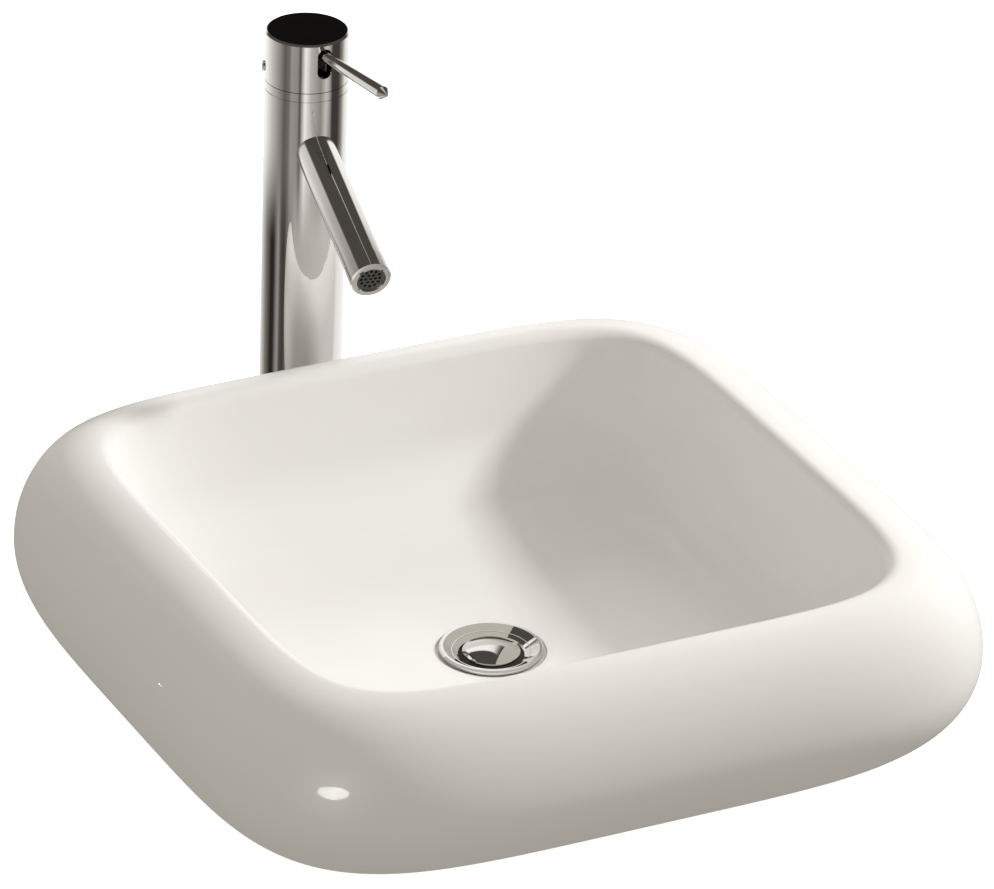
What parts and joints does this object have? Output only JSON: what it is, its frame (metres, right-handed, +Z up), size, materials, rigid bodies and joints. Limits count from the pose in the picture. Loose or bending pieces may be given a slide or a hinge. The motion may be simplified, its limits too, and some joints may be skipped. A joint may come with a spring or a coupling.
{
  "type": "countertop basin with tap",
  "caption": "Rounded square ceramic countertop basin with a push waste and a tall chrome single-lever mixer tap standing behind it.",
  "frame": {"origin": "centre of the basin's foot, on the counter's top", "axes": "+Z up, -Y towards the user, +Y towards the tap, +X to the user's right"},
  "size_m": [0.475, 0.5175, 0.3759],
  "materials": {
    "glazed_ceramic": "gloss glaze",
    "chrome": "polished",
    "dark_chrome": "polished, dark",
    "rubber": "matte",
    "white_plastic": "matte",
    "grey_plastic": "matte",
    "brass": "machined",
    "copper": "drawn",
    "steel": "plain",
    "ceramic_disc": "lapped"
  },
  "bodies": {
    "basin_and_tap": {"basin_bowl": "glazed_ceramic", "waste_body": "chrome", "tap_body": "chrome", "spout": "chrome", "aerator_housing": "chrome", "collar_ring": "chrome", "waste_flange_seal": "rubber", "waste_gasket": "rubber", "tap_base_gasket": "rubber", "clamp_rubber": "rubber", "aerator_washer": "rubber", "cartridge_port_seals": "rubber", "waste_slip_washer": "white_plastic", "latch_housing": "white_plastic", "cartridge_housing": "white_plastic", "aerator_insert": "grey_plastic", "waste_lock_nut": "brass", "stud_nut": "brass", "cartridge_nut": "brass", "supply_tube_hot": "copper", "supply_tube_cold": "copper", "latch_spring": "steel", "fixing_stud": "steel", "clamp_plate": "steel", "fixed_disc": "ceramic_disc"},
    "plug": {"plug_cap": "chrome", "plug_seal": "rubber", "plug_stem": "brass"},
    "head": {"head_shell": "chrome", "head_top_disc": "dark_chrome", "head_grub_screw": "steel", "index_button": "chrome", "cartridge_rotor": "white_plastic", "spindle_pivot_pin": "steel"},
    "lever": {"spindle": "steel", "lever_knuckle": "chrome", "lever_pin": "chrome", "knuckle_screw": "steel"},
    "disc": {"moving_disc": "ceramic_disc", "disc_driver": "white_plastic"}
  },
  "joints": [
    {"name": "plug_push", "type": "slide", "parent": "basin_and_tap", "child": "plug", "axis": [0, 0, 1], "range_m": [0, 0.008], "deforming": ["latch_spring"]},
    {"name": "head_turn", "type": "hinge", "parent": "basin_and_tap", "child": "head", "pos_m": [0.005, 0.268, 0.2606], "axis": [0, 0, 1], "range_deg": [-45, 45]},
    {"name": "lever_lift", "type": "hinge", "parent": "head", "child": "lever", "pos_m": [0.005, 0.268, 0.2606], "axis": [1, 0, 0], "range_deg": [0, 25]},
    {"name": "disc_slide", "type": "slide", "parent": "head", "child": "disc", "axis": [0, 1, 0], "range_m": [0, 0.005]}
  ],
  "couplings": [
    {"joint": "disc_slide", "follows": "lever_lift", "m_per_rad": 0.01126}
  ]
}
